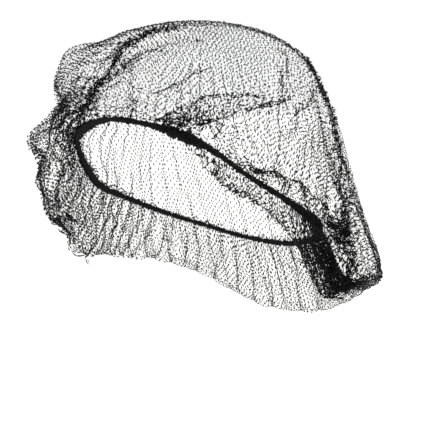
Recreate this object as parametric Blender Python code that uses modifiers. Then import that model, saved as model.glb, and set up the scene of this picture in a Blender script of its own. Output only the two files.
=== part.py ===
"""Hairnet with an elastic edge, in the form it has when it is worn.

The net is one slack bag: from the crown it falls past the elastic, hangs in a pouch at the sides and
the back, turns under at its lowest line and comes back up to the elastic on the inside.

Frame: +Z is up, the wearer faces -Y and the wearer's left is +X. The origin lies on the head's upright
axis, at the height where the elastic passes over the ears. The tables are in millimetres and degrees.
An azimuth is counted from the front, -Y, towards the wearer's left. A drop runs down the net from 0 at
the crown to 1 at the elastic.
"""
import bpy
import numpy as np

MM = 0.001
OBJECT_NAME = "hairnet"

# Driving dimensions
CROWN_HEIGHT = 124.0
NET_WALL = 1.2
ELASTIC_RADIUS = 1.9
GAP = 0.3

# Levels down the net: the name, the drop where it lies, and the rows of faces between it and the level
# above. The shoulder is above the brow, the belly is the widest part of the slack, the hem is where the
# net turns under, and the edge is where the elastic holds it.
LEVELS = (
    ("shoulder", 0.30, 4),
    ("side", 0.50, 6),
    ("belly", 0.70, 7),
    ("hem", 0.88, 5),
    ("edge", 1.00, 4),
)
COLUMNS = 96
COLUMN_AZIMUTHS = np.arange(COLUMNS) * 360.0 / COLUMNS

# Sections of the net, one every 22.5 degrees from the front: how far out from the head's axis and how
# high each level lies.
SECTION_COLUMNS = (
    "shoulder_out", "shoulder_up", "side_out", "side_up", "belly_out", "belly_up",
    "hem_out", "hem_up", "edge_out", "edge_up",
)
SECTIONS = (
    (66, 107,  86, 88,  94, 73,   98, 62,   96, 57),
    (64, 106,  83, 84,  92, 68,   96, 57,   92, 54),
    (61, 102,  79, 74,  88, 56,   92, 42,   85, 41),
    (58,  98,  76, 68,  84, 42,   89, 14,   79, 20),
    (58,  98,  76, 64,  83, 26,   89,-12,   77, 4),
    (62, 100,  81, 64,  90, 18,   95,-52,   78, -10),
    (67, 100,  86, 62, 100, 10,  118,-51,   80, -21),
    (71, 100,  92, 58, 109,  4,  127,-66,   83, -30),
    (73, 100, 100, 56, 120,  0,  122,-86,   84, -35),
    (73, 101, 103, 58, 120,  4,  112,-84,   83, -32),
    (73, 102, 104, 62, 118, 10,  106,-62,   80, -23),
    (73, 102, 103, 68, 114, 18,  104,-48,   78, -13),
    (73, 103, 101, 77, 113, 26,  104,-44,   77, -2),
    (75, 104,  98, 83, 115, 32,  103,-30,   79, 9),
    (76, 105,  97, 87, 117, 40,  102, -2,   83, 30),
    (73, 106,  92, 89, 103, 68,  101, 54,   90, 48),
)

# The net leaves the crown level, and stays flat there for longer the larger this is.
CROWN_FLATNESS = 1.25

# Folds: each runs through a start, a middle and an end. A height above zero stands out as a ridge or a
# puff, and one below zero goes in as a crease.
FOLD_COLUMNS = (
    "start_azimuth", "start_drop", "middle_azimuth", "middle_drop", "end_azimuth", "end_drop",
    "half_width", "height",
)
FOLDS = (
    (355, 0.80,  360, 0.44,  390, 0.18,   8, -7),
    (118, 0.46,  126, 0.66,  122, 0.84,   8, -7),
    ( 24, 0.76,   42, 0.55,   80, 0.46,   8,  5),
    ( 44, 0.72,   66, 0.54,  104, 0.50,   8,  4),
    ( 70, 0.73,   92, 0.72,  114, 0.74,   7, -3),
    (118, 0.44,  104, 0.56,   88, 0.64,   8,  4),
    ( 24, 0.58,   33, 0.46,   50, 0.35,   8, -4),
    (  8, 0.36,   12, 0.50,   16, 0.74,   7,  4),
    (112, 0.24,  100, 0.32,   90, 0.40,   8,  3),
    (255, 0.60,  300, 0.62,  346, 0.60,   9, -13),
    (262, 0.74,  296, 0.745, 330, 0.75,   8, -9),
    (256, 0.81,  286, 0.83,  312, 0.86,   7, -9),
    (146, 0.50,  152, 0.64,  158, 0.86,   8,  5),
    (176, 0.52,  174, 0.68,  178, 0.86,   7, -6),
    (196, 0.50,  204, 0.68,  200, 0.86,   8,  6),
    (222, 0.54,  222, 0.70,  216, 0.86,   7, -6),
    (238, 0.56,  244, 0.70,  240, 0.85,   8,  5),
)
FOLD_STEPS = 16

# A fold fades along half a sine wave that starts and stops this far into it, in half turns, and it
# doesn't reach a layer of the net whose drop is further off than the reach.
FOLD_END_PHASE = 0.12
FOLD_REACH = 0.15

# Past this drop the net is on its way back up inside and lies plain.
PLAIN_DROP = 0.88
PLAIN_FADE = 0.06

# Lumps of drawn-up net that make the elastic edge thicker
LUMP_COLUMNS = ("azimuth", "half_width", "extra_radius")
LUMPS = (
    ( 38, 10, 1.3),
    (118, 12, 1.2),
    (300, 14, 0.7),
    (351, 10, 0.9),
)

# Gathers where the net is drawn in to the elastic, and the drops between which they run
GATHERS = 24
GATHER_HEIGHT = 1.4
GATHER_SPAN = (0.62, 0.86)

# Surfaces: the colour in sRGB bytes and the roughness
NET_COLOUR = (24, 24, 25)
NET_ROUGHNESS = 0.55
ELASTIC_COLOUR = (32, 32, 33)
ELASTIC_ROUGHNESS = 0.65
DISPLAY_GAMMA = 2.2


def material(name, colour, roughness):
    """One plain cloth surface."""
    made = bpy.data.materials.new(name)
    made.use_nodes = True
    shader = made.node_tree.nodes["Principled BSDF"]
    linear = tuple((channel / 255.0) ** DISPLAY_GAMMA for channel in colour)
    shader.inputs["Base Color"].default_value = (*linear, 1.0)
    shader.inputs["Roughness"].default_value = roughness
    shader.inputs["Metallic"].default_value = 0.0
    return made


def around(values, azimuths):
    """Smooth closed curve through values that lie at even steps of azimuth."""
    count = len(values)
    place = (np.asarray(azimuths) % 360.0) * count / 360.0
    index = np.floor(place).astype(int)
    part = (place - index)[:, None]
    before, start, end, after = (values[(index + shift) % count] for shift in (-1, 0, 1, 2))
    bend = 2 * before - 5 * start + 4 * end - after
    twist = 3 * start - before - 3 * end + after
    return 0.5 * (2 * start + (end - before) * part + bend * part**2 + twist * part**3)


def section_levels(azimuths):
    """Out and up of the crown and of each level at each azimuth."""
    table = np.array(SECTIONS, float)
    columns = dict(zip(SECTION_COLUMNS, around(table, azimuths).T))
    levels = np.zeros((len(azimuths), len(LEVELS) + 1, 2))
    levels[:, 0] = (0.0, CROWN_HEIGHT)
    for index, (level, _, _) in enumerate(LEVELS, start=1):
        levels[:, index, 0] = columns[level + "_out"]
        levels[:, index, 1] = columns[level + "_up"]
    return levels


def down_the_net(levels, drops):
    """Out and up along smooth curves from the crown, level there, through the levels to the edge."""
    knots = np.array([0.0] + [drop for _, drop, _ in LEVELS])
    spans = np.diff(knots)
    slopes = np.diff(levels, axis=1) / spans[None, :, None]
    tangents = np.empty_like(levels)
    before, after = spans[None, :-1, None], spans[None, 1:, None]
    tangents[:, 1:-1] = (slopes[:, :-1] * after + slopes[:, 1:] * before) / (before + after)
    tangents[:, 0] = slopes[:, 0] * (CROWN_FLATNESS, 0.0)
    tangents[:, -1] = slopes[:, -1]
    index = np.clip(np.searchsorted(knots, drops, side="right") - 1, 0, len(spans) - 1)
    span = spans[index]
    part = ((drops - knots[index]) / span)[None, :, None]
    span = span[None, :, None]
    return (
        (2 * part**3 - 3 * part**2 + 1) * levels[:, index]
        + (part**3 - 2 * part**2 + part) * span * tangents[:, index]
        + (3 * part**2 - 2 * part**3) * levels[:, index + 1]
        + (part**3 - part**2) * span * tangents[:, index + 1]
    )


def smooth_net(azimuths, drops):
    """Points of the net before its folds, one row for each azimuth."""
    out_up = down_the_net(section_levels(azimuths), drops)
    turn = np.radians(azimuths)[:, None]
    out, up = out_up[..., 0], out_up[..., 1]
    return np.stack([out * np.sin(turn), -out * np.cos(turn), up], axis=-1)


def outward(azimuths, drops):
    """Unit vectors that point out of the net."""
    small_turn, small_drop, nearly_zero = 0.5, 0.001, 1e-9
    along = smooth_net(azimuths + small_turn, drops) - smooth_net(azimuths - small_turn, drops)
    upper, lower = np.clip(drops - small_drop, 0, 1), np.clip(drops + small_drop, 0, 1)
    down = smooth_net(azimuths, lower) - smooth_net(azimuths, upper)
    normal = np.cross(down, along)
    normal /= np.maximum(np.linalg.norm(normal, axis=-1, keepdims=True), nearly_zero)
    normal[:, drops == 0] = (0, 0, 1)
    return normal


def fold_line(fold):
    """Azimuths and drops along one fold, a smooth curve through its three places."""
    part = np.linspace(0, 1, FOLD_STEPS)
    weights = (1 - part) * (1 - 2 * part), 4 * part * (1 - part), part * (2 * part - 1)
    azimuths = sum(weight * fold[name] for weight, name in zip(
        weights, ("start_azimuth", "middle_azimuth", "end_azimuth")))
    drops = sum(weight * fold[name] for weight, name in zip(
        weights, ("start_drop", "middle_drop", "end_drop")))
    return azimuths, drops


def fold_heights(points, drops):
    """How far the folds lift each point of the net, fading out at both ends of a fold."""
    heights = np.zeros(points.shape[:2])
    for row in FOLDS:
        fold = dict(zip(FOLD_COLUMNS, row))
        line_azimuths, line_drops = fold_line(fold)
        line = np.array([smooth_net(np.array([turn]), np.array([drop]))[0, 0]
                         for turn, drop in zip(line_azimuths, line_drops)])
        distance = np.linalg.norm(points[:, :, None] - line, axis=-1)
        nearest = distance.argmin(axis=-1)
        along = nearest / (FOLD_STEPS - 1)
        fade = np.sin(np.pi * (FOLD_END_PHASE + (1 - 2 * FOLD_END_PHASE) * along))
        same_side = np.abs(drops - line_drops[nearest]) < FOLD_REACH
        lift = fold["height"] * fade * np.exp(-(distance.min(axis=-1) / fold["half_width"]) ** 2)
        heights += np.where(same_side, lift, 0.0)
    return heights


def gather_heights(azimuths, drops):
    """Small upright waves between the widest part of the slack and the hem."""
    start, end = GATHER_SPAN
    grow = np.clip((drops - start) / (end - start), 0, 1)
    return GATHER_HEIGHT * np.sin(np.radians(azimuths) * GATHERS)[:, None] * np.sin(np.pi * grow)


def elastic_radii(azimuths):
    """Radius of the elastic in its hem at each azimuth."""
    radii = np.full(len(azimuths), ELASTIC_RADIUS)
    for row in LUMPS:
        lump = dict(zip(LUMP_COLUMNS, row))
        away = (azimuths - lump["azimuth"] + 180.0) % 360.0 - 180.0
        radii += lump["extra_radius"] * np.exp(-(away / lump["half_width"]) ** 2)
    return radii


def net_drops():
    """Drops of the rows of points, the crown first."""
    drops, start = [0.0], 0.0
    for _, end, rows in LEVELS:
        drops += [start + (end - start) * (row + 1) / rows for row in range(rows)]
        start = end
    return np.array(drops)


def net_points():
    """The net's middle surface on a grid of azimuths and drops, in millimetres."""
    azimuths = COLUMN_AZIMUTHS
    drops = net_drops()
    points = smooth_net(azimuths, drops)
    heights = fold_heights(points, drops) + gather_heights(azimuths, drops)
    heights *= np.clip((PLAIN_DROP - drops) / PLAIN_FADE, 0, 1)
    points += outward(azimuths, drops) * heights[..., None]
    turn = np.radians(azimuths)
    sideways = np.stack([np.sin(turn), -np.cos(turn), np.zeros(COLUMNS)], axis=-1)
    clear = elastic_radii(azimuths) + GAP + NET_WALL / 2
    near_edge = np.clip((drops - PLAIN_DROP) / (1 - PLAIN_DROP), 0, 1)
    return points + (clear[:, None] * sideways)[:, None] * near_edge[None, :, None]


def link(name, data, surface, collection):
    """An object of the part with its material, in the part's collection."""
    made = bpy.data.objects.new(name, data)
    data.materials.append(surface)
    collection.objects.link(made)
    return made


def make_net(collection, surface):
    """The bag: an open surface with one point at the crown, given its wall by Solidify."""
    points = net_points()
    rows = points.shape[1] - 1
    corners = [tuple(points[0, 0] * MM)]
    corners += [tuple(points[column, row] * MM) for row in range(1, rows + 1) for column in range(COLUMNS)]

    def corner(column, row):
        return 0 if row == 0 else 1 + (row - 1) * COLUMNS + column % COLUMNS

    faces = [(0, corner(column, 1), corner(column + 1, 1)) for column in range(COLUMNS)]
    faces += [
        (corner(column, row), corner(column, row + 1), corner(column + 1, row + 1), corner(column + 1, row))
        for row in range(1, rows) for column in range(COLUMNS)]
    mesh = bpy.data.meshes.new("net_bag")
    mesh.from_pydata(corners, [], faces)
    mesh.shade_smooth()
    net = link("net_bag", mesh, surface, collection)
    wall = net.modifiers.new("wall", "SOLIDIFY")
    wall.thickness = NET_WALL * MM
    wall.offset = 0.0
    return net


def make_elastic(collection, surface):
    """The elastic in its hem: a closed round curve along the edge level."""
    ring = smooth_net(COLUMN_AZIMUTHS, np.array([1.0]))[:, 0] * MM
    curve = bpy.data.curves.new("elastic_edge", "CURVE")
    curve.dimensions = "3D"
    curve.bevel_depth = ELASTIC_RADIUS * MM
    curve.bevel_resolution = 2
    line = curve.splines.new("POLY")
    line.points.add(len(ring) - 1)
    for point, place, radius in zip(line.points, ring, elastic_radii(COLUMN_AZIMUTHS)):
        point.co = (*place, 1.0)
        point.radius = radius / ELASTIC_RADIUS
    line.use_cyclic_u = True
    return link("elastic_edge", curve, surface, collection)


def main():
    for old in list(bpy.data.objects):
        bpy.data.objects.remove(old)
    collection = bpy.data.collections.new(OBJECT_NAME)
    bpy.context.scene.collection.children.link(collection)
    make_net(collection, material("black_nylon_net", NET_COLOUR, NET_ROUGHNESS))
    make_elastic(collection, material("black_covered_elastic", ELASTIC_COLOUR, ELASTIC_ROUGHNESS))


main()
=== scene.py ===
# %% [markdown]
# # A bouffant hairnet of black nylon net
#
# This lesson dresses a hairnet: a round piece of fine net, gathered onto an elastic ring, in the form that
# it has when it is worn. The shell of the bag and the ring of the elastic come from the CAD frame. The
# lesson knits the net thread by thread over that shell, covers the elastic, and sets up the camera and the
# light.
#
# The frame is loaded first, because every later step measures itself against it. Shapes are worked out in
# millimetres and turned into metres when their mesh is made. An azimuth is in degrees, from the front
# towards the wearer's left.

import math

import bmesh
import bpy
import numpy as np
from mathutils import Matrix


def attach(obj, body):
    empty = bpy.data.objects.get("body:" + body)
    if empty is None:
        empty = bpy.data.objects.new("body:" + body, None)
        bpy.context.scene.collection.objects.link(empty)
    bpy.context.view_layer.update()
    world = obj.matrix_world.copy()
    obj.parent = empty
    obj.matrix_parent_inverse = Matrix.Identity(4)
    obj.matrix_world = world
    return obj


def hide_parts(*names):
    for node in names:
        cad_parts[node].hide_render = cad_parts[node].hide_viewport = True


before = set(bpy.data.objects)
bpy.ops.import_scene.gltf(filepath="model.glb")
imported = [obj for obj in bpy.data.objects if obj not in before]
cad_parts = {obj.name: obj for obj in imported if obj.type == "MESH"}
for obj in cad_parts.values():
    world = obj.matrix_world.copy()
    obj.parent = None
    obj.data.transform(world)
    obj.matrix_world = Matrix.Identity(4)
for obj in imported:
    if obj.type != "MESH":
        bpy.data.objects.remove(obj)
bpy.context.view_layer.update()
print("nodes of the frame:", sorted(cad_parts))

# %% [markdown]
# The camera looks from a little to the wearer's left of the front, at about the height of the ears, and from
# so far away that the net looks almost flat on. A long lens does that. It comes before the net, so that a
# look at any unfinished step already shows it from the right side.

# %% The camera
FRAME_WIDTH_PX = 431
MM_PER_PIXEL = 0.685
SENSOR_WIDTH_MM = 36.0
CAMERA_DISTANCE_M = 1.4
CAMERA_TURN, CAMERA_RISE = math.radians(45), math.radians(4)
AIM_RIGHT_M, AIM_UP_M = 0.00856, -0.00719

to_right = np.array([math.cos(CAMERA_TURN), math.sin(CAMERA_TURN), 0.0])
to_camera = np.array([
    math.sin(CAMERA_TURN) * math.cos(CAMERA_RISE),
    -math.cos(CAMERA_TURN) * math.cos(CAMERA_RISE),
    math.sin(CAMERA_RISE),
])
to_top = np.cross(to_camera, to_right)

lens = bpy.data.cameras.new("portrait_camera")
lens.sensor_width = SENSOR_WIDTH_MM
lens.lens = SENSOR_WIDTH_MM * CAMERA_DISTANCE_M * 1000 / (FRAME_WIDTH_PX * MM_PER_PIXEL)
lens.clip_end = 60.0
camera = bpy.data.objects.new("portrait_camera", lens)
bpy.context.collection.objects.link(camera)
camera_place = to_camera * CAMERA_DISTANCE_M + to_right * AIM_RIGHT_M + to_top * AIM_UP_M
camera_rows = [[to_right[i], to_top[i], to_camera[i], camera_place[i]] for i in range(3)]
camera.matrix_world = Matrix(camera_rows + [[0, 0, 0, 1]])
bpy.context.scene.camera = camera
print("lens", round(lens.lens, 1), "mm at", [round(v, 3) for v in camera_place])

# %% [markdown]
# Every finish below is a small tree of nodes. Three helpers keep such a tree short to write: one adds a
# node with its settings and links, one turns a hex colour into the linear values that Blender calculates
# with, and one starts a material.

# %% Helpers for nodes and colours


def add_node(tree, kind, settings=None, inputs=None, links=None):
    """Adds a node, sets its settings and inputs, and links sockets into it."""
    node = tree.nodes.new(kind)
    for name, value in (settings or {}).items():
        setattr(node, name, value)
    for name, value in (inputs or {}).items():
        node.inputs[name].default_value = value
    for name, source in (links or {}).items():
        tree.links.new(source, node.inputs[name])
    return node


def from_hex(code):
    """A sRGB hex colour as linear RGBA."""
    parts = [int(code[i:i + 2], 16) / 255 for i in (1, 3, 5)]
    return [c / 12.92 if c <= 0.04045 else ((c + 0.055) / 1.055) ** 2.4 for c in parts] + [1.0]


def new_material(name):
    """An empty node material and its shader, already linked to the output."""
    material = bpy.data.materials.new(name)
    material.use_nodes = True
    tree = material.node_tree
    tree.nodes.clear()
    shader = add_node(tree, "ShaderNodeBsdfPrincipled")
    add_node(tree, "ShaderNodeOutputMaterial", links={"Surface": shader.outputs["BSDF"]})
    return material, tree, shader


print("black of the net, linear:", [round(c, 4) for c in from_hex("#0b0b0c")])

# %% [markdown]
# The room is a white studio: an even white sky, a pale floor well below the hairnet, since a worn one is far
# from any floor, one large soft lamp at the upper left, and a weak wide one overhead. The net is black and
# full of holes, so what shapes it for the eye is how much white shows through, not the light on the threads.
# The Standard view transform keeps the white white.

# %% The room
FLOOR_HEIGHT_M, FLOOR_RADIUS_M = -0.30, 16
LAMP_PLACE_M, LAMP_TURN = (0.1, -1.5, 1.3), (math.radians(48), 0, math.radians(4))

world = bpy.data.worlds.new("white_studio")
bpy.context.scene.world = world
world.use_nodes = True
sky = world.node_tree.nodes["Background"]
sky.inputs["Color"].default_value = (1, 1, 1, 1)
sky.inputs["Strength"].default_value = 1.0
bpy.context.scene.view_settings.view_transform = "Standard"

bpy.ops.object.select_all(action="DESELECT")
bpy.ops.mesh.primitive_circle_add(
    vertices=96, radius=FLOOR_RADIUS_M, fill_type="NGON", location=(0, 0, FLOOR_HEIGHT_M))
floor = bpy.context.active_object
floor.name = "studio_floor"
paint, paint_tree, paint_shader = new_material("matt_white_floor_paint")
speckle = add_node(paint_tree, "ShaderNodeTexNoise", inputs={"Scale": 3.0, "Detail": 2.0})
tint = add_node(paint_tree, "ShaderNodeMix", {"data_type": "RGBA"},
                {"A": from_hex("#f6f6f5"), "B": from_hex("#fafafa")}, {"Factor": speckle.outputs["Fac"]})
paint_tree.links.new(tint.outputs["Result"], paint_shader.inputs["Base Color"])
paint_shader.inputs["Roughness"].default_value = 0.9
floor.data.materials.append(paint)

lamp = bpy.data.lights.new("softbox", "AREA")
lamp.shape, lamp.size, lamp.energy = "DISK", 1.2, 10.0
softbox = bpy.data.objects.new("softbox", lamp)
bpy.context.collection.objects.link(softbox)
softbox.location, softbox.rotation_euler = LAMP_PLACE_M, LAMP_TURN
overhead = bpy.data.lights.new("ceiling_light", "SUN")
overhead.energy, overhead.angle = 0.7, math.radians(60)
ceiling = bpy.data.objects.new("ceiling_light", overhead)
bpy.context.collection.objects.link(ceiling)
print("floor at", FLOOR_HEIGHT_M, "m, lamp", lamp.energy, "W")

# %% [markdown]
# The CAD shell tells where the net runs. It is a bag with two walls, and its points lie on rings that go
# round the crown, 96 to a ring. Its mesh could be read point by point in file order, but that order says
# nothing about the shape. So its edges are walked outwards from the highest point instead: each step meets
# one whole ring.

# %% Rings of the shell
COLUMNS = 96
COLUMN_DEGREES = 360 / COLUMNS
NET_ROWS = 27


def merged_copy(node):
    """The node's mesh with its doubled points merged, as a bmesh."""
    shell = bmesh.new()
    shell.from_mesh(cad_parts[node].data)
    bmesh.ops.remove_doubles(shell, verts=shell.verts, dist=1e-5)
    return shell


def walk_outwards(start):
    """Sets of points that are 0, 1, 2 ... edges away from the start."""
    met, rings = {start}, [[start]]
    while rings[-1]:
        step = []
        for point in rings[-1]:
            for edge in point.link_edges:
                other = edge.other_vert(point)
                if other not in met:
                    met.add(other)
                    step.append(other)
        rings.append(step)
    return rings[:-1]


def in_order(ring):
    """The ring's places in mm, from the front towards the wearer's left."""
    members = set(ring)
    first = min(ring, key=lambda v: abs(math.atan2(v.co.x, -v.co.y)))
    chain, here, before = [first], first, None
    while True:
        following = [e.other_vert(here) for e in here.link_edges if e.other_vert(here) in members]
        following = [v for v in following if v is not before]
        if before is None:
            following.sort(key=lambda v: -v.co.x)
        before, here = here, following[0]
        if here is first:
            return np.array([v.co for v in chain]) * 1000
        chain.append(here)


shell = merged_copy("net_bag")
rings = walk_outwards(max(shell.verts, key=lambda v: v.co.z))
print("rings:", len(rings), "points in each of the first:", [len(ring) for ring in rings[:4]])

# %% [markdown]
# The first rings are those of the outer wall, and past the rim come those of the inner wall, from the rim
# back up to the crown. The middle of the two walls is the surface that the net lies on, a grid of 96 columns
# and 27 rows.

# %% The middle of the two walls
outer = [in_order(ring) for ring in rings[1:NET_ROWS]]
inner = [in_order(ring) for ring in rings[NET_ROWS:2 * NET_ROWS - 1]][::-1]
crown = (np.array(rings[0][0].co) + np.array(rings[2 * NET_ROWS - 1][0].co)) / 2 * 1000
sheet_grid = np.empty((COLUMNS, NET_ROWS, 3))
sheet_grid[:, 0] = crown
for row in range(1, NET_ROWS):
    sheet_grid[:, row] = (outer[row - 1] + inner[row - 1]) / 2
shell.free()
print("crown at", crown.round(1), "rim from", sheet_grid[:, -1].min(0).round(1),
      "to", sheet_grid[:, -1].max(0).round(1))

# %% [markdown]
# The elastic is a ring of round section in the frame, with eight points to a section. Each of its points
# belongs to the rim point of the net that it lies nearest to, so the sections come out by themselves, and
# with them the middle line of the elastic and how thick it is at each place. It is thicker where gathers are
# bunched on it.
#
# Over the right brow the bunched net weighs the elastic down by up to 3 mm, so its line is lowered there.
# The last rows of the grid are then bent so that the net ends on the elastic's middle.

# %% Reading the elastic
# azimuth, and how many mm lower than in the frame the elastic hangs there
ELASTIC_DROPS = ((326, 0.0), (338, 2.4), (350, 3.0), (358, 2.0), (8, 0.0))

edge_ring = merged_copy("elastic_edge")
edge_points = np.array([v.co for v in edge_ring.verts]) * 1000
edge_ring.free()
rim = sheet_grid[:, -1]
nearest = np.argmin(((edge_points[:, None] - rim[None]) ** 2).sum(2), axis=1)
elastic_middle = np.array([edge_points[nearest == c].mean(0) for c in range(COLUMNS)])
elastic_radius = np.array([
    np.linalg.norm(edge_points[nearest == c] - elastic_middle[c], axis=1).mean() for c in range(COLUMNS)
])
drop_azimuths, drops = np.array(ELASTIC_DROPS).T
elastic_middle[:, 2] -= np.interp(np.arange(COLUMNS) * COLUMN_DEGREES, drop_azimuths, drops, period=360)
elastic_length = np.linalg.norm(np.roll(elastic_middle, -1, 0) - elastic_middle, axis=1).sum()
print("points to a section:", set(np.bincount(nearest)), "length", round(elastic_length), "mm, radius",
      elastic_radius.min().round(2), "to", elastic_radius.max().round(2))

for row, share in ((NET_ROWS - 3, 1 / 3), (NET_ROWS - 2, 2 / 3), (NET_ROWS - 1, 1.0)):
    sheet_grid[:, row] += share * (elastic_middle - sheet_grid[:, NET_ROWS - 1])

# %% [markdown]
# Between the rings a smooth curve is needed, or the net would show the facets of the shell. A Catmull-Rom
# curve passes through every point of the grid and bends evenly between them, both round the bag and down it.
# A place on the bag is then a function of two numbers: the azimuth, and the row, from 0 at the crown to 26
# at the elastic.

# %% Any place on the bag
across_crown = np.roll(sheet_grid[:, 1], COLUMNS // 2, 0)[:, None]
past_rim = (2 * sheet_grid[:, -1] - sheet_grid[:, -2])[:, None]
padded = np.concatenate([across_crown, sheet_grid, past_rim, past_rim], axis=1)


def curve_weights(t):
    """The four weights of a Catmull-Rom curve at t between its two middle points."""
    return np.stack([
        -0.5 * t + t ** 2 - 0.5 * t ** 3,
        1 - 2.5 * t ** 2 + 1.5 * t ** 3,
        0.5 * t + 2 * t ** 2 - 1.5 * t ** 3,
        -0.5 * t ** 2 + 0.5 * t ** 3,
    ], axis=-1)


def bag_place(azimuth, row):
    """Places in mm on the bag."""
    column = np.asarray(azimuth) % 360 / 360 * COLUMNS
    row = np.clip(row, 0, NET_ROWS - 1 - 1e-6)
    c0, r0 = np.floor(column).astype(int), np.floor(row).astype(int)
    across, down = curve_weights(column - c0), curve_weights(row - r0)
    spot = np.zeros(c0.shape + (3,))
    for i in range(4):
        for j in range(4):
            spot += (across[..., i] * down[..., j])[..., None] * padded[(c0 + i - 1) % COLUMNS, r0 + j]
    return spot


def bag_outward(azimuth, row):
    """Directions out of the bag, from small steps on it, clear of the crown's point and the rim."""
    row = np.clip(row, 0.4, NET_ROWS - 1.3)
    round_bag = bag_place(azimuth + 1.5, row) - bag_place(azimuth - 1.5, row)
    down_bag = bag_place(azimuth, row + 0.25) - bag_place(azimuth, row - 0.25)
    out = np.cross(down_bag, round_bag)
    return out / np.linalg.norm(out, axis=-1, keepdims=True)


print("over the ear:", bag_place(90.0, 13.0).round(1), "outward", bag_outward(90.0, 13.0).round(2))

# %% [markdown]
# The real net starts as a flat disc, about 24 inches or 610 mm across, cut from knitted net. Sewn to the
# elastic it has far more cloth than the bag has room for, and that is what makes it puff, fold and hang. So
# the disc is laid out flat first and each of its points is then sent to its place on the bag. The crown
# isn't over the middle of the disc: more net goes to the back, where the bag hangs, and to the wearer's
# right.
#
# Round the bag, the gathers aren't even: they bunch at the wearer's right and behind the ear, and are thin
# over the middle of the brow and where the net is drawn smooth over the ear. A short table says how much net
# each degree of the elastic takes, and its running sum gives the angle on the flat disc that belongs to each
# azimuth.

# %% How the gathers share out the disc
CUT_RADIUS = 305.0
DISC_MIDDLE = np.array([-34.0, 46.0])
# azimuth, and how much net a degree of the elastic takes there, against the others
GATHER_SHARES = (
    (0, 0.4), (8, 0.4), (15, 0.7), (24, 1.1), (32, 1.5), (42, 1.4), (52, 0.75), (62, 0.65), (88, 0.65),
    (100, 1.4), (108, 2.3), (118, 3.2), (130, 4.2), (143, 1.0), (180, 0.7), (215, 0.7), (250, 0.7),
    (280, 1.4), (305, 2.4), (335, 2.2), (344, 1.8), (350, 1.3), (354, 0.5),
)
HALF_DEGREES = 720
# in half degrees: how far the steps between the table's places are smoothed
SHARE_BLUR = 17

share_azimuths, shares = np.array(GATHER_SHARES).T
fine_azimuths = np.arange(HALF_DEGREES + 1) / 2
fine_shares = np.interp(fine_azimuths, share_azimuths, shares, period=360)
kernel = np.hanning(SHARE_BLUR) / np.hanning(SHARE_BLUR).sum()
fine_shares = np.convolve(np.tile(fine_shares[:-1], 3), kernel, "same")[HALF_DEGREES:2 * HALF_DEGREES + 1]
flat_angle = np.concatenate([[0], np.cumsum((fine_shares[1:] + fine_shares[:-1]) / 2)])
flat_angle *= 360 / flat_angle[-1]
flat_angle -= np.interp(90, fine_azimuths, flat_angle) - 90


def to_rim(angle):
    """How far the rim of the disc is from the crown's place on it, in mm, at an angle in degrees."""
    a = np.radians(angle)
    ahead = DISC_MIDDLE[0] * np.sin(a) - DISC_MIDDLE[1] * np.cos(a)
    return ahead + np.sqrt(CUT_RADIUS ** 2 - DISC_MIDDLE @ DISC_MIDDLE + ahead ** 2)


for angle in (0, 90, 180, 270):
    print("at azimuth", angle, "lies the net of", np.interp(angle, fine_azimuths, flat_angle).round(),
          "degrees on the disc, which reaches", to_rim(angle).round(), "mm there")

# %% [markdown]
# Down the bag, the net lies near the crown as it was cut. The disc is longer than the way down the bag, so
# further down it is pushed together more and more, up to the elastic. The length left over is taken up by a
# power of the way to the rim, and a higher power leaves more of it for the last stretch. About the last 2
# per cent of the disc are kept to be turned over the elastic.

# %% How the disc lies down the bag
WRAP_START = 0.978
# shares of the way to the rim between which the gathers draw the net round the bag
GATHER_FROM, GATHER_FULL = 0.25, 0.95
# the power is this over the share of length left over, kept within the least and the most
RIM_CROWDING = 0.85
LEAST_PUSH, MOST_PUSH = 1.5, 2.6
# in columns: how far the lengths down the bag are smoothed
LENGTH_BLUR = 9

steps = np.linalg.norm(np.diff(sheet_grid, axis=1), axis=2)
lengths = np.concatenate([np.zeros((COLUMNS, 1)), np.cumsum(steps, axis=1)], axis=1)
blur = np.hanning(LENGTH_BLUR) / np.hanning(LENGTH_BLUR).sum()
lengths = np.stack([np.convolve(np.tile(lengths[:, r], 3), blur, "same")[COLUMNS:2 * COLUMNS]
                    for r in range(NET_ROWS)], axis=1)


def smooth(x, low, high):
    """0 below low, 1 above high, and an even slope between."""
    t = np.clip((x - low) / (high - low), 0, 1)
    return t * t * (3 - 2 * t)


def between_columns(values, azimuth):
    """Values that are given for the columns, at azimuths between them."""
    column = azimuth % 360 / 360 * COLUMNS
    c0 = np.floor(column).astype(int)
    t = (column - c0)[:, None]
    return values[c0 % COLUMNS] * (1 - t) + values[(c0 + 1) % COLUMNS] * t


def elastic_radius_at(azimuth):
    """The radius of the elastic in mm at azimuths."""
    return np.interp(azimuth % 360 / 360 * COLUMNS, np.arange(COLUMNS), elastic_radius, period=COLUMNS)


def lay_on_bag(flat_x, flat_y):
    """Azimuth, row, share of the way to the rim and how drawn out the net is, for points of the disc."""
    angle = np.degrees(np.arctan2(flat_x, -flat_y)) % 360
    reach = to_rim(angle)
    share = np.hypot(flat_x, flat_y) / reach
    drawn = np.interp((angle - flat_angle[0]) % 360 + flat_angle[0], flat_angle, fine_azimuths)
    shift = (drawn - angle + 180) % 360 - 180
    azimuth = angle + smooth(share, GATHER_FROM, GATHER_FULL) * shift
    table = between_columns(lengths, azimuth)
    u = np.clip(share / WRAP_START, 0, 1)
    short = 1 - (table[:, -1] - elastic_radius_at(azimuth)) / reach
    push = np.clip(RIM_CROWDING / np.maximum(short, 0.01), LEAST_PUSH, MOST_PUSH)
    worn = reach * (u - short * u ** push)
    r0 = np.clip((table <= worn[:, None]).sum(1) - 1, 0, NET_ROWS - 2)
    pick = np.arange(len(r0))
    row = r0 + (worn - table[pick, r0]) / (table[pick, r0 + 1] - table[pick, r0])
    return azimuth, row, share, 1 - short * push * u ** (push - 1)


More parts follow.
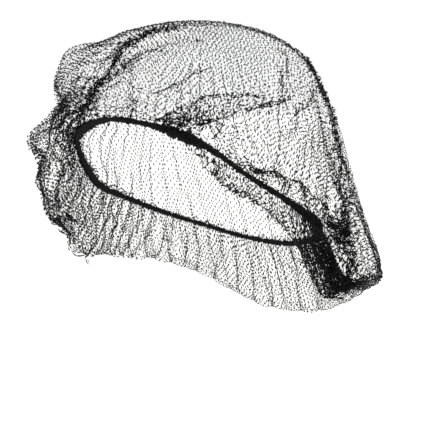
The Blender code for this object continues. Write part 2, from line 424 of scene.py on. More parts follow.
for column in range(0, COLUMNS, COLUMNS // 4):
    print("at azimuth", column * COLUMN_DEGREES, "the way down the bag is", lengths[column, -1].round(), "mm")

# %% [markdown]
# Slack net doesn't turn back up to the elastic at once. From the temple round to behind the ear it sags
# below the elastic first, and further back the underside of the bag sags too. Two tables say how deep, and
# the rows between which it happens fade it in and out.

# %% Where the slack sags
# azimuth, and how far in mm the net sags there
SAGS = ((38, 0), (46, 11), (56, 14), (70, 11), (84, 11), (95, 14), (108, 15), (120, 6), (132, 1), (160, 0))
UNDERSIDE_SAGS = ((108, 0), (120, 9), (133, 14), (148, 12), (165, 7), (185, 4), (260, 4), (300, 0))
# rows between which the sag sets in, and between which it ends
SAG_ROWS, UNDERSIDE_ROWS = (18.5, 22.5, 24.2, 26), (22, 24, 24.4, 26)
# how much further out the slack hangs for each mm that it sags
OUTWARD_SHARE = 0.15


def sag(azimuth, row, outward):
    """The way in mm that the slack sags from the bag, at places on it."""
    depth = 0
    for table, rows in ((SAGS, SAG_ROWS), (UNDERSIDE_SAGS, UNDERSIDE_ROWS)):
        azimuths, depths = np.array(table).T
        starts_at, full_at, fades_at, ends_at = rows
        deep = np.interp(azimuth % 360, azimuths, depths) * smooth(row, starts_at, full_at)
        depth = depth + deep * (1 - smooth(row, fades_at, ends_at))
    return depth[:, None] * (OUTWARD_SHARE * outward - np.array([0, 0, 1]))


deepest = sag(np.array([108.0]), np.array([23.0]), np.array([[0.0, 1.0, 0.0]]))
print("sag behind the ear:", deepest.round(1), "mm")

# %% [markdown]
# Hairnet is warp-knitted: columns of tight loops make short thick pillars, and the threads that cross over
# from one column to the next make thin zigzags between them. Stretched open it is a honeycomb. The eye knows
# a hairnet by its rows of little dark dots, which are the pillars, so every cell is made. Real cells are
# about 2 mm across and are drawn 3.2 mm, with the pillars as much thicker, because finer ones would melt
# into grey at this distance. The cells of the whole disc are laid out in rows, the courses.

# %% The honeycomb of the disc
CELL = 3.2
PILLAR = CELL / math.sqrt(3)
COURSE_STEP = 1.5 * PILLAR
# the azimuth that the pillars point to on the flat disc
PILLAR_AZIMUTH = math.radians(62)
# stitches beyond this share of the cut are left out
CUT_MARGIN = 0.9995

course_count = int(CUT_RADIUS / COURSE_STEP)
course_ids = np.arange(-course_count, course_count + 1)
half_counts = (np.sqrt(CUT_RADIUS ** 2 - (course_ids * COURSE_STEP) ** 2) / (CELL / 2)).astype(int)
starts = np.concatenate([[0], np.cumsum(2 * half_counts + 1)])
course = np.repeat(course_ids, 2 * half_counts + 1)
stitch = np.concatenate([np.arange(-n, n + 1) for n in half_counts])
rises = (stitch + course) % 2 == 0
along = stitch * CELL / 2
over = course * COURSE_STEP + np.where(rises, PILLAR / 4, -PILLAR / 4)
inside = np.hypot(along, over) <= CUT_RADIUS * CUT_MARGIN

disc_x = along * math.cos(PILLAR_AZIMUTH) + over * math.sin(PILLAR_AZIMUTH) + DISC_MIDDLE[0]
disc_y = along * math.sin(PILLAR_AZIMUTH) - over * math.cos(PILLAR_AZIMUTH) + DISC_MIDDLE[1]
azimuth, row, share, drawn_down = lay_on_bag(disc_x, disc_y)
print("courses", len(course_ids), "stitches", int(inside.sum()))

# %% [markdown]
# Slack net never lies smooth. Its threads don't stretch, so where there is more net than room, it buckles
# into pleats that double back on themselves. A cloth simulation is the usual way to fold fabric, but tens of
# thousands of open cells are too many for one, and its folds would fall where they like. So the pleats are
# sums of waves with random lengths and starts, which keeps them from looking like a comb.

# %% Random waves
chance = np.random.default_rng(21)
flat_turn = np.arctan2(disc_x, -disc_y)
flat_reach = np.hypot(disc_x, disc_y)


def waves(round_low, round_high, drop_low, drop_high, count=16):
    """Sine and cosine sums of random waves: whole ones round the disc, and lengths in mm from its middle."""
    sine, cosine = np.zeros_like(flat_turn), np.zeros_like(flat_turn)
    for number, length, sign, start in zip(
            chance.integers(round_low, round_high, count), chance.uniform(drop_low, drop_high, count),
            chance.choice([-1, 1], count), chance.uniform(0, 2 * np.pi, count)):
        phase = number * flat_turn + sign * 2 * np.pi * flat_reach / length + start
        sine += np.sin(phase)
        cosine += np.cos(phase)
    return sine / math.sqrt(count / 2), cosine / math.sqrt(count / 2)


def ripples(length, count=28):
    """A smooth random field over the disc, about as high as 1, whose waves are about that long in mm."""
    field = np.zeros_like(disc_x)
    for turn, size, phase in zip(chance.uniform(0, 2 * np.pi, count), chance.uniform(0.75, 1.35, count),
                                 chance.uniform(0, 2 * np.pi, count)):
        k = 2 * np.pi / (length * size)
        field += np.sin(k * (disc_x * np.cos(turn) + disc_y * np.sin(turn)) + phase)
    return field / math.sqrt(count / 2)


# the pleats that run from the elastic to the crown, then those that run across
round_sine, round_cosine = waves(round_low=52, round_high=112, drop_low=80, drop_high=200)
down_sine, down_cosine = waves(round_low=-14, round_high=14, drop_low=15, drop_high=30)
print("the highest pleat wave is", round_cosine.max().round(2), "times the usual one")

# %% [markdown]
# How wide a pleat swings depends on how much net there is for the room. That is the fullness: the distance
# between two stitches on the flat disc over the distance that is left for them on the bag. Most pleats run
# from the elastic towards the crown, and some run across. The eye sees them as dark wandering clusters,
# where the net is doubled. A table calms them where the net is drawn smooth.

# %% Pleats of slack net
# azimuth, and how much of their full swing the pleats have there
PLEAT_SHARES = (
    (344, 1.0), (354, 0.45), (20, 0.5), (40, 0.45), (104, 0.35), (112, 0.8), (128, 0.8), (140, 0.35),
    (170, 0.35), (215, 0.7), (290, 1.0),
)
# in radians: the step round the disc over which the fullness is measured
SMALL_TURN = 0.02
# shares of the way to the rim between which the pleats set in
PLEATS_FROM, PLEATS_FULL = 0.15, 0.4
# in mm: how far the pleats, those across them, the billows and single stitches stand out
PLEAT_LIFT, CROSS_LIFT, BILLOW_LIFT, STITCH_LIFT = 1.25, 0.55, 0.7, 0.15
# in mm: how far the pleats, those across them and single stitches swing along the bag
PLEAT_SWING, CROSS_SWING, STITCH_SWING = 2.5, 1.0, 0.25
# in mm: how long the billows are, and the random waves that lift and swing single stitches
BILLOW_LENGTH, LIFT_LENGTH, SWING_LENGTH = 34, 9, 8

place = bag_place(azimuth, row)
outward = bag_outward(azimuth, row)
place += sag(azimuth, row, outward)
sideways = bag_place(azimuth + 1, row) - bag_place(azimuth - 1, row)
next_turn = flat_turn + SMALL_TURN
next_azimuth = lay_on_bag(flat_reach * np.sin(next_turn), -flat_reach * np.cos(next_turn))[0]
worn_arc = np.linalg.norm(sideways, axis=1) / 2 * np.abs((next_azimuth - azimuth + 180) % 360 - 180)
fullness = np.maximum(SMALL_TURN * flat_reach, 0.1) / np.maximum(worn_arc, 0.02)
sideways = sideways / np.maximum(np.linalg.norm(sideways, axis=1, keepdims=True), 1e-6)
down = np.cross(sideways, outward)

pleat_azimuths, pleat_shares = np.array(PLEAT_SHARES).T
stir = np.interp(azimuth % 360, pleat_azimuths, pleat_shares, period=360)
slack_round = np.sqrt(np.clip(1 - 1 / np.maximum(fullness, 1) ** 2, 0, 1))
slack_round = slack_round * smooth(share, PLEATS_FROM, PLEATS_FULL) * stir
slack_down = np.sqrt(np.clip(1 - np.clip(drawn_down, 0, 1) ** 2, 0, 1)) * stir
lift = PLEAT_LIFT * slack_round * round_cosine + CROSS_LIFT * slack_down * down_cosine
lift += BILLOW_LIFT * ripples(BILLOW_LENGTH) * slack_down + STITCH_LIFT * ripples(LIFT_LENGTH)
swing = PLEAT_SWING * slack_round * round_sine + STITCH_SWING * ripples(SWING_LENGTH)
cross_swing = CROSS_SWING * slack_down * down_sine + STITCH_SWING * ripples(SWING_LENGTH)
drift = sideways * swing[:, None]
drift += down * cross_swing[:, None]
print("fullness from", fullness[share > 0.3].min().round(2), "to", fullness[share > 0.3].max().round(2))

# %% [markdown]
# Over the small pleats lie the large folds. Some are bands, wide or narrow, where much net is drawn
# together: from the brow up to the crown, from the elastic across the side, over the ear and down the back.
# Others are single sharp creases. Both are lines on the bag, given by a few of their points. A third table
# holds the puffs and dents of the whole bag, as round hills and hollows. They are tables, because a fold is
# given one by one: its place, its width, and how hard it is drawn.

# %% The tables of folds
# name, points of the line as (azimuth, row), half width in mm, share of the gathering, and crumple in mm
GATHERED_BANDS = (
    ("brow_to_crown", ((354, 25), (354, 21.6), (352, 17), (353, 12.6), (356, 9.2), (357, 6.6), (359, 4.1),
                       (3, 2.75), (11, 2.3)), 13, 0.5, 2.5),
    ("crown_crest", ((357, 6.6), (359, 4.1), (3, 2.75), (11, 2.2), (26, 1.3), (60, 0.9)), 10, 0.7, 1.0),
    ("far_crest", ((279, 9.4), (279, 5.6), (279, 3.2), (264, 2.2), (246, 1.4)), 12, 0.65, 1.0),
    ("brow_band", ((10, 6.8), (14, 11.2), (16, 15), (18, 18.8), (18.8, 21.2)), 8, 0.65, 1.0),
    ("crown_crease", ((94, 5.6), (88, 8.4)), 8, 0.9, 0.4),
    ("crown_back", ((106, 4), (106, 4.8), (96, 7.2)), 8, 0.9, 0.4),
    ("nape_crease", ((120, 8), (111, 9.2), (98, 10.6), (94, 12.6), (85, 14)), 8, 0.9, 0.4),
    ("side_root", ((29, 21.5), (33, 19.4), (37, 17.8), (43, 15.8)), 13, 0.45, 1.0),
    ("side_fold", ((34, 20.6), (38, 18), (43, 15.8), (50, 13.4), (60, 11), (70, 10.2), (80, 9.6),
                   (90, 9.2)), 15, 0.6, 1.0),
    ("side_fan", ((43, 20.5), (48, 18.4), (55, 16.6), (64, 15.0)), 9, 0.5, 1.0),
    ("over_ear", ((56, 20.1), (62, 19.8), (70, 19.3), (80, 18.9), (91, 18.8)), 20, 0.83, 1.5),
    ("crown_to_back", ((140, 1.2), (140, 3), (141, 5), (142, 7)), 28, 0.5, 1.0),
    ("back_band", ((143, 6), (142, 9), (134, 12), (132, 15.8), (130, 17.6), (127, 19)), 20, 0.8, 1.5),
    ("pouch_turn", ((119, 19.2), (121, 20), (121, 21)), 21, 0.6, 2.0),
    ("back_well", ((108, 18.8), (111, 18.9), (114, 18.9)), 25, 0.62, 2.6),
)
# name, points of the line as (azimuth, row), then half width, draw, reach and lift in mm
CREASES = (
    ("temple_crease", ((26, 13), (33, 9.4), (40, 7.4), (50, 6)), 1.4, 4.0, 8, 0.4),
    ("top_crease", ((38, 3.4), (44, 3.2)), 1.4, 3.8, 7, 0.4),
    ("above_ear", ((68, 19.4), (83, 18), (92, 18), (101, 18), (109, 18.4)), 3.5, 4.5, 10, 0.8),
    ("brow_crest", ((353, 18), (352.5, 15), (353.5, 12.6), (356, 9.2), (357, 6.6), (359, 4.1),
                    (3, 2.75), (11, 2.3)), 1.8, 4.0, 8, 0.8),
    ("near_hem", ((96, 20.2), (98, 21), (101, 21.6), (108, 21.4), (114, 21.2), (120, 20.5),
                  (123, 19.6)), 2.0, 3.5, 8, 0.4),
    ("side_upper", ((28, 20.2), (32, 18), (36, 16.2), (40, 14.4), (45, 12.2), (53, 10.2), (62, 9.6),
                    (75, 9.2)), 1.5, 4.2, 7, 0.5),
    ("side_lower", ((43, 20), (44, 18), (52, 15), (61, 12.4), (74, 10.4), (91, 9.2),
                    (100, 8.2)), 1.5, 4.2, 7, 0.5),
    ("brow_knot", ((40, 19.2), (40, 20.6)), 3.0, 5.0, 10, 1.0),
    ("left_puff_low", ((341, 20.2), (347, 24)), 3.0, 2.0, 12, 0.6),
    ("left_puff_knot", ((353, 17.6), (353, 20.5)), 4.0, 4.5, 14, 0.6),
    ("left_puff_mid", ((311, 16.5), (311, 18), (315, 19.8)), 3.5, 5.0, 14, 0.8),
    ("left_puff_far", ((311, 21.2), (304, 23.2), (292, 23.8)), 3.5, 5.0, 14, 0.8),
    ("brow_gather_a", ((0, 20.6), (1, 24)), 3.0, 4.0, 10, 0.6),
    ("brow_gather_b", ((14, 20), (13, 24)), 3.0, 4.0, 10, 0.6),
)
# azimuth, row, radius and height in mm of the places where the net stands out or, below 0, lies in
PUFFS = (
    (320, 7.2, 13, 6.0), (314, 13.4, 13, -10.0), (316, 17.5, 12, 2.5), (284, 22.3, 16, 4.5),
    (330, 9.0, 10, 2.0), (314, 18.0, 6, -4.0), (314, 19.4, 7, 2.0), (311, 20.2, 6, -4.0),
    (308, 21.2, 8, 2.5), (289, 21.2, 7, -4.0), (330, 16.2, 9, -4.0), (307, 12.8, 10, -4.0),
    (120, 2.0, 45, -2.5), (60, 1.0, 25, -1.5),
)
print(len(GATHERED_BANDS), "bands,", len(CREASES), "creases and", len(PUFFS), "puffs and dents")

# %% [markdown]
# A band draws all the net on both sides of its line towards it, evenly, and crumples it on the way, so it
# comes out as a dark mottled strip. A crease draws the net most strongly close to its line, where it turns
# over and lies three deep, and lifts it there. Each stitch is drawn to the point of the line that it lies
# nearest to. A line at the outer wall must leave the inner wall alone, which is only millimetres away, so
# the rows are compared.

# %% Drawing the net into its folds
CRUMPLE_LENGTH = 6
# rows away from the line between which a stitch comes to count as the other wall's
OTHER_WALL_FROM, OTHER_WALL_FULL = 4, 8
# in half widths: how far from its line a band looks for stitches, and a crease lifts them
BAND_REACH, CREASE_LIFT_REACH = 1.2, 1.5


def along_line(points, count=40):
    """Azimuths and rows evenly along a line on the bag, the shorter way round."""
    points = np.array(points, float)
    points[:, 0] = np.degrees(np.unwrap(np.radians(points[:, 0])))
    at = np.linspace(0, len(points) - 1, count)
    return tuple(np.interp(at, np.arange(len(points)), points[:, i]) for i in range(2))


def near_line(points, reach):
    """Stitches near a line: their numbers, the ways to them, how far they are, and their share in it."""
    line_azimuth, line_row = along_line(points)
    line = bag_place(line_azimuth, line_row)
    line += sag(line_azimuth, line_row, bag_outward(line_azimuth, line_row))
    # a fold fades out towards both its ends
    ends = np.sin(np.linspace(0.1, 0.9, len(line)) * np.pi) ** 0.5
    low, high = line.min(0) - 2 * reach, line.max(0) + 2 * reach
    near = np.flatnonzero(((place > low) & (place < high)).all(1))
    away = place[near][:, None] - line[None]
    closest = (away ** 2).sum(2).argmin(1)
    away = away[np.arange(len(near)), closest]
    away -= outward[near] * (away * outward[near]).sum(1)[:, None]
    same_wall = 1 - smooth(np.abs(row[near] - line_row[closest]), OTHER_WALL_FROM, OTHER_WALL_FULL)
    return near, away, np.linalg.norm(away, axis=1), same_wall * ends[closest]


crumple = np.stack([ripples(CRUMPLE_LENGTH) for _ in range(3)], axis=1)
for puff_azimuth, puff_row, radius, height in PUFFS:
    centre = bag_place(np.array([puff_azimuth]), np.array([puff_row]))
    lift += height * np.exp(-((place - centre) ** 2).sum(1) / radius ** 2)

for name, points, half_width, gathering, crumpled in GATHERED_BANDS:
    near, away, far, belongs = near_line(points, BAND_REACH * half_width)
    hold = np.exp(-(far / half_width) ** 4) * belongs
    place[near] += (crumpled * crumple[near] - away) * (gathering * hold)[:, None]
    print(name, "gathers", int((hold > 0.5).sum()), "stitches")

for name, points, half_width, draw, reach, raised in CREASES:
    near, away, far, belongs = near_line(points, reach)
    hold = np.exp(-(far / reach) ** 2) * belongs
    place[near] -= away * (draw * np.tanh(far / half_width) / np.maximum(far, 1e-6) * hold)[:, None]
    lift[near] += raised * np.exp(-(far / (CREASE_LIFT_REACH * half_width)) ** 2) * belongs
    print(name, "draws in", int((hold > 0.5).sum()), "stitches")

place = place + outward * lift[:, None] + drift

# %% [markdown]
# The last few millimetres of the disc are turned over the elastic and stitched there. So past the wrap the
# stitches leave the bag and go round the elastic instead, which gives its lower side the small nubs of
# thread that stand out against the white.

# %% Turning the rim over the elastic
# in mm: how far stitches usually lie off their place
STITCH_SCATTER = 0.10
# how far round the elastic the rim is turned, and the share of the way over which it gets there
WRAP_TURN = math.radians(230)
WRAP_BLEND = 0.03
# the net lies on the elastic at this share of its radius, and so many mm more
WRAP_SHARE, WRAP_SPACE = 0.9, 0.1
# the row from which the net comes in to the elastic
LAST_FREE_ROW = NET_ROWS - 2.2
# in mm: the height of the nubs and how far apart they are, then the same of the finer ones on them
NUB_HEIGHT, NUB_LENGTH, FINE_NUB_HEIGHT, FINE_NUB_LENGTH = 2.3, 14, 0.7, 5

place += chance.normal(0, STITCH_SCATTER, place.shape)
middle = between_columns(elastic_middle, azimuth)
elastic_steps = np.roll(elastic_middle, -1, 0) - elastic_middle
towards = elastic_steps[np.floor(azimuth % 360 / 360 * COLUMNS).astype(int) % COLUMNS]
towards /= np.linalg.norm(towards, axis=1, keepdims=True)
into_bag = bag_place(azimuth, np.full_like(azimuth, LAST_FREE_ROW)) - middle
into_bag -= towards * (into_bag * towards).sum(1)[:, None]
into_bag /= np.linalg.norm(into_bag, axis=1, keepdims=True)
round_elastic = np.cross(towards, into_bag)
turn_share = np.clip((share - WRAP_START) / (1 - WRAP_START), 0, 1)
turned = turn_share * WRAP_TURN
bumps = NUB_HEIGHT * np.maximum(ripples(NUB_LENGTH), 0) + FINE_NUB_HEIGHT * np.abs(ripples(FINE_NUB_LENGTH))
nub = elastic_radius_at(azimuth) * WRAP_SHARE + WRAP_SPACE + bumps * turn_share
from_middle = np.cos(turned)[:, None] * into_bag - np.sin(turned)[:, None] * round_elastic
wrapped = middle + nub[:, None] * from_middle
blend = smooth(share, WRAP_START - WRAP_BLEND, WRAP_START)[:, None]
place = place * (1 - blend) + wrapped * blend
print("stitches round the elastic:", int((turn_share > 0).sum()))

# %% [markdown]
# Now the threads get their thickness. Blender could give curves a bevel, but tens of thousands of them would
# be slow and heavy, and no operator knits. So the points and triangles are worked out as arrays and handed
# over whole. Four helpers do it for every thread: directions, rings of points across a line, the triangles
# between rings, and the mesh.

# %% Helpers for threads


def unit(v):
    """Vectors of the same direction, 1 long."""
    return v / np.maximum(np.linalg.norm(v, axis=-1, keepdims=True), 1e-9)


def ring_of(centres, ahead, up, radius, sides):
    """Rings of points round centres, across the direction ahead."""
    up = unit(up - ahead * (up * ahead).sum(-1)[..., None])
    side = np.cross(ahead, up)
    angles = np.arange(sides) * 2 * np.pi / sides
    return centres[:, None] + np.asarray(radius)[..., None, None] * (
        np.cos(angles)[None, :, None] * up[:, None] + np.sin(angles)[None, :, None] * side[:, None])


def tube_sides(here, following, sides):
    """Triangles between rings of points and the rings that follow, from the numbers of their first points."""
    faces = []
    for s in range(sides):
        n = (s + 1) % sides
        faces.append(np.stack([here + s, here + n, following + n], 1))
        faces.append(np.stack([here + s, following + n, following + s], 1))
    return np.concatenate(faces)


def solid(name, points_mm, triangles):
    """A mesh object from places in mm and triangles, facing outwards."""
    a, b, c = (points_mm[triangles[:, i]] for i in range(3))
    if (np.cross(a, b) * c).sum() < 0:
        triangles = triangles[:, ::-1]
    mesh = bpy.data.meshes.new(name)
    mesh.vertices.add(len(points_mm))
    mesh.vertices.foreach_set("co", (points_mm / 1000).astype(np.float32).ravel())
    mesh.loops.add(3 * len(triangles))
    mesh.loops.foreach_set("vertex_index", triangles.astype(np.int32).ravel())
    mesh.polygons.add(len(triangles))
    mesh.polygons.foreach_set("loop_start", np.arange(0, 3 * len(triangles), 3, dtype=np.int32))
    mesh.polygons.foreach_set("use_smooth", np.ones(len(triangles), dtype=bool))
    mesh.update(calc_edges=True)
    piece = bpy.data.objects.new(name, mesh)
    bpy.context.collection.objects.link(piece)
    return piece


print("triangles between two rings of three:", len(tube_sides(np.array([0]), np.array([3]), 3)))

# %% [markdown]
# A course is one thin three-sided tube through its stitches, and a pillar is a little spindle, thick in the
# middle, because its loops are pulled tight at both ends. So few sides are enough for something a millimetre
# wide, and they are what keeps tens of thousands of cells light.

# %% Courses and pillars
THREAD_SIDES = 3
THREAD_RADIUS = 0.045
PILLAR_RADIUS = 0.60
# how far a pillar reaches past its two stitches, as a share of its length
PILLAR_OVERLAP = 0.05


def knit_courses(first, last):
    """Points and triangles of the courses from first to last."""
    keep = np.flatnonzero(inside & (course >= first) & (course <= last))
    joined = (np.diff(keep) == 1) & (course[keep][1:] == course[keep][:-1])
    here = place[keep]
    before, after = np.roll(here, 1, 0), np.roll(here, -1, 0)
    has_after, has_before = np.append(joined, False), np.insert(joined, 0, False)
    after[~has_after], before[~has_before] = here[~has_after], here[~has_before]
    radius = THREAD_RADIUS * chance.uniform(0.85, 1.2, len(keep))
    points = ring_of(here, unit(after - before), outward[keep], radius, THREAD_SIDES).reshape(-1, 3)
    a = THREAD_SIDES * np.flatnonzero(has_after)
    open_start = THREAD_SIDES * np.flatnonzero(has_after & ~has_before)
    open_end = THREAD_SIDES * np.flatnonzero(has_before & ~has_after)
    return points, np.concatenate([
        tube_sides(a, a + THREAD_SIDES, THREAD_SIDES),
        np.stack([open_start, open_start + 2, open_start + 1], 1),
        np.stack([open_end, open_end + 1, open_end + 2], 1),
    ])


def knit_pillars(first, last):
    """Points and triangles of the pillars that rise from the courses from first to last."""
    lower = np.flatnonzero(inside & rises & (course >= first) & (course <= last) & (course < course_count))
    index = course[lower] + course_count
    fits = np.abs(stitch[lower]) <= half_counts[index + 1]
    lower, index = lower[fits], index[fits]
    upper = starts[index + 1] + stitch[lower] + half_counts[index + 1]
    lower, upper = lower[inside[upper]], upper[inside[upper]]
    bottom, top = place[lower], place[upper]
    ahead = unit(top - bottom)
    bottom, top = bottom - PILLAR_OVERLAP * (top - bottom), top + PILLAR_OVERLAP * (top - bottom)
    radius = PILLAR_RADIUS * chance.uniform(0.8, 1.2, len(lower))
    waist = ring_of((bottom + top) / 2, ahead, outward[lower], radius, THREAD_SIDES)
    points = np.concatenate([bottom[:, None], waist, top[:, None]], 1)
    a = points.shape[1] * np.arange(len(lower))
    tip = a + THREAD_SIDES + 1
    faces = []
    for s in range(THREAD_SIDES):
        n = (s + 1) % THREAD_SIDES
        faces += [np.stack([a, a + 1 + n, a + 1 + s], 1), np.stack([tip, a + 1 + s, a + 1 + n], 1)]
    return points.reshape(-1, 3), np.concatenate(faces)


print("thread", 2 * THREAD_RADIUS, "mm, pillar", 2 * PILLAR_RADIUS, "mm thick at its waist")

# %% [markdown]
# One cut thread end hangs from the hem at the wearer's right, in the small curl that such an end makes. It
# is a smooth curve through a few points, with a thread's thickness round it, and it belongs to the net's
# mesh.

# %% The loose thread end
# the way of the thread end from the hem: mm to the right in the camera's view, and mm up
LOOSE_END = (
    (-1.0, 2), (-0.9, -2), (-1.0, -5.5), (-1.1, -8.5), (-0.8, -9.8), (0.1, -10.4), (1.0, -9.7), (0.8, -8.7),
    (-0.1, -8.5), (-0.7, -9.2), (0, -10.9), (1.3, -11.6),
)
LOOSE_END_AZIMUTH, LOOSE_END_ROW = 279.5, 22.4
LOOSE_RADIUS = 0.24
LOOSE_RINGS = 72


def knit_loose_end():
    """Points and triangles of the thread end."""
    hem = bag_place(np.array([LOOSE_END_AZIMUTH]), np.array([LOOSE_END_ROW]))[0]
    way = np.array([hem + right * to_right + [0, 0, up] for right, up in LOOSE_END])
    way = np.concatenate([2 * way[:1] - way[1:2], way, 2 * way[-1:] - way[-2:-1]])
    at = np.linspace(0, len(LOOSE_END) - 1.001, LOOSE_RINGS)
    weights = curve_weights(at - np.floor(at))
    line = sum(weights[:, i, None] * way[np.floor(at).astype(int) + i] for i in range(4))
    ahead, up = unit(np.gradient(line, axis=0)), np.tile(to_camera, (LOOSE_RINGS, 1))
    points = ring_of(line, ahead, up, np.full(LOOSE_RINGS, LOOSE_RADIUS), THREAD_SIDES)
    a = THREAD_SIDES * np.arange(LOOSE_RINGS - 1)
    last = THREAD_SIDES * (LOOSE_RINGS - 1)
    caps = np.array([[0, 2, 1], [last, last + 1, last + 2]])
    return points.reshape(-1, 3), np.concatenate([caps, tube_sides(a, a + THREAD_SIDES, THREAD_SIDES)])


end_points, end_faces = knit_loose_end()
print("thread end of", len(end_faces), "triangles, its tip at", end_points[-1].round(1))

# %% [markdown]
# The whole net is too many triangles for one mesh that others can still handle. So the disc is cut along its
# courses into five strips with about as many stitches each. Where two strips meet, the pillars of one reach
# into the other, so no seam shows.

# %% The five pieces of net
NET_PIECES = 5

counts = np.cumsum([int((inside & (course == c)).sum()) for c in course_ids])
cuts = [int(course_ids[np.searchsorted(counts, counts[-1] * k / NET_PIECES)]) for k in range(1, NET_PIECES)]
strips = zip([-course_count] + [c + 1 for c in cuts], cuts + [course_count])
net_pieces = []
for number, (first, last) in enumerate(strips, 1):
    parts = [knit_courses(first, last), knit_pillars(first, last)]
    if number == 1:
        parts.append((end_points, end_faces))
    offsets = np.cumsum([0] + [len(points) for points, _ in parts])
    piece = solid(f"net_courses_{number}", np.concatenate([points for points, _ in parts]),
                  np.concatenate([faces + offset for (_, faces), offset in zip(parts, offsets)]))
    net_pieces.append(piece)
    print(piece.name, "courses", first, "to", last, "triangles", len(piece.data.polygons))

# %% [markdown]
# The elastic is a thin round band of rubber threads, covered in black nylon, that runs inside the turned
# edge of the net. It is the darkest line of the whole piece. Its cover is wound, which leaves fine ribs
# across it, and the gathers that bunch on it push it out here and there. A ring of sections along the middle
# line makes it, each section a little wider or narrower than the last.

# %% The covered elastic
ELASTIC_SIDES, ELASTIC_RINGS = 16, 2880
# in mm: real ribs are about 0.5 mm and are drawn coarser, so that they show
RIB_LENGTH = 1.1
# shares of the radius in the frame: the cover's own, and how far its ribs and its slower waves swell it
COVER_SHARE, RIB_SWELL, WANDER_SWELL = 0.88, 0.07, 0.07
# waves round the ring, all primes, so that their sum doesn't repeat
WANDER_WAVES = (37, 61, 97, 151, 233, 389)
# azimuth, and how many times as thick as in the frame the elastic is, with the gathers bunched on it
BUNCHES = (
    (6, 0.85), (14, 1.05), (22, 0.9), (29, 1.3), (38, 1.4), (44, 1.05), (60, 1.0), (88, 1.0), (97, 1.3),
    (110, 1.15), (130, 1.0), (330, 0.9), (345, 1.0), (356, 1.0),
)


def round_ring(values, at):
    """Values of the 96 columns, as a smooth closed curve, at column numbers."""
    c0 = np.floor(at).astype(int)
    weights = curve_weights(at - c0)
    return sum(weights[:, i, None] * values[(c0 + i - 1) % COLUMNS] for i in range(4))


ring_numbers = np.arange(ELASTIC_RINGS)
at = ring_numbers / ELASTIC_RINGS * COLUMNS
ring_middle = round_ring(elastic_middle, at)
ring_radius = round_ring(elastic_radius[:, None], at)[:, 0]
ahead = unit(np.roll(ring_middle, -1, 0) - np.roll(ring_middle, 1, 0))
up = np.tile([0.0, 0.0, 1.0], (ELASTIC_RINGS, 1))
ribs = round(elastic_length / RIB_LENGTH)
swell = RIB_SWELL * np.sin(2 * np.pi * ribs * ring_numbers / ELASTIC_RINGS)
wander = sum(WANDER_SWELL * np.sin(2 * np.pi * n * ring_numbers / ELASTIC_RINGS + n) for n in WANDER_WAVES)
bunch_azimuths, bunches = np.array(BUNCHES).T
ring_radius = ring_radius * np.interp(at * 360 / COLUMNS, bunch_azimuths, bunches, period=360)
cover = ring_of(ring_middle, ahead, up, ring_radius * (COVER_SHARE + swell + wander), ELASTIC_SIDES)
a = ELASTIC_SIDES * ring_numbers
elastic = solid("covered_elastic", cover.reshape(-1, 3), tube_sides(a, np.roll(a, -1), ELASTIC_SIDES))
print("elastic", len(elastic.data.polygons), "triangles,", ribs, "ribs")

# %% [markdown]
# The net is bare nylon thread, drawn smooth from the melt and dyed black. It is a little glossy, so single
# threads glint. Nylon takes its dye a little unevenly, and a soft noise in the colour and the gloss gives it
# that, so that the black isn't one flat value. A finer one stands for the plies of the thread.

# %% Black nylon thread
nylon, tree, shader = new_material("black_nylon_thread")
where = add_node(tree, "ShaderNodeTexCoord")
# 85 to the metre: the dye changes over some 12 mm of thread
dye = add_node(tree, "ShaderNodeTexNoise", inputs={"Scale": 85.0, "Detail": 3.0},
               links={"Vector": where.outputs["Object"]})
black = add_node(tree, "ShaderNodeMix", {"data_type": "RGBA"},
                 {"A": from_hex("#0b0b0c"), "B": from_hex("#161618")}, {"Factor": dye.outputs["Fac"]})
tree.links.new(black.outputs["Result"], shader.inputs["Base Color"])
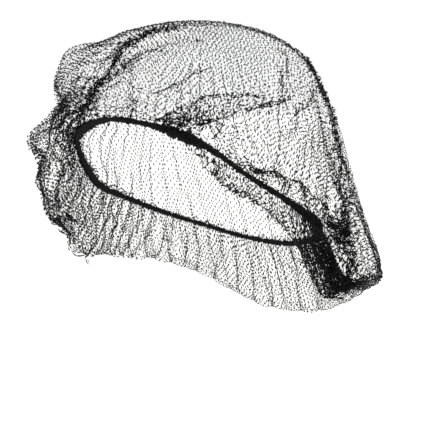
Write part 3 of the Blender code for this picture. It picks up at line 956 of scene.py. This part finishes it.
# 2000 to the metre: the plies of the thread are 0.1 mm, drawn as 0.5 mm grain so that they show
plies = add_node(tree, "ShaderNodeTexNoise", inputs={"Scale": 2000.0, "Detail": 1.0},
                 links={"Vector": where.outputs["Object"]})
grain = add_node(tree, "ShaderNodeBump", inputs={"Strength": 0.4, "Distance": 0.0002},
                 links={"Height": plies.outputs["Fac"]})
tree.links.new(grain.outputs["Normal"], shader.inputs["Normal"])
gloss = add_node(tree, "ShaderNodeMapRange", inputs={"To Min": 0.42, "To Max": 0.58},
                 links={"Value": dye.outputs["Fac"]})
tree.links.new(gloss.outputs["Result"], shader.inputs["Roughness"])
# kept low, or the white room would turn the black threads grey
shader.inputs["Specular IOR Level"].default_value = 0.1

for piece in net_pieces:
    piece.data.materials.append(nylon)
print("finish of the net:", nylon.name)

# %% [markdown]
# The elastic's cover is wound from textured nylon yarn. It is as black as the net, but its loose fibres
# scatter the light, so it looks duller, with no glints. Its grain is the yarn's.

# %% Nylon-covered elastic
covered, tree, shader = new_material("nylon_covered_elastic")
where = add_node(tree, "ShaderNodeTexCoord")
# 160 to the metre: the dye changes over some 6 mm of yarn
dye = add_node(tree, "ShaderNodeTexNoise", inputs={"Scale": 160.0, "Detail": 4.0},
               links={"Vector": where.outputs["Object"]})
black = add_node(tree, "ShaderNodeMix", {"data_type": "RGBA"},
                 {"A": from_hex("#0b0b0c"), "B": from_hex("#161617")}, {"Factor": dye.outputs["Fac"]})
tree.links.new(black.outputs["Result"], shader.inputs["Base Color"])
# 1400 to the metre: the yarn is about 0.3 mm, drawn as 0.7 mm grain so that it shows
yarn = add_node(tree, "ShaderNodeTexNoise", inputs={"Scale": 1400.0, "Detail": 2.0},
                links={"Vector": where.outputs["Object"]})
grain = add_node(tree, "ShaderNodeBump", inputs={"Strength": 0.7, "Distance": 0.0004},
                 links={"Height": yarn.outputs["Fac"]})
tree.links.new(grain.outputs["Normal"], shader.inputs["Normal"])
shader.inputs["Roughness"].default_value = 0.75
shader.inputs["Specular IOR Level"].default_value = 0.12

elastic.data.materials.append(covered)
print("finish of the elastic:", covered.name)

# %% [markdown]
# Last, each piece is tied to the frame: what it rides on, and which solid of the frame it stands for. The net
# isn't declared as a sheet, because bare threads have far less surface than the disc that they are knitted
# from.

# %% Tying the pieces to the frame
for piece in net_pieces:
    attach(piece, "root")
    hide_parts("net_bag")
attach(elastic, "root")
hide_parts("elastic_edge")
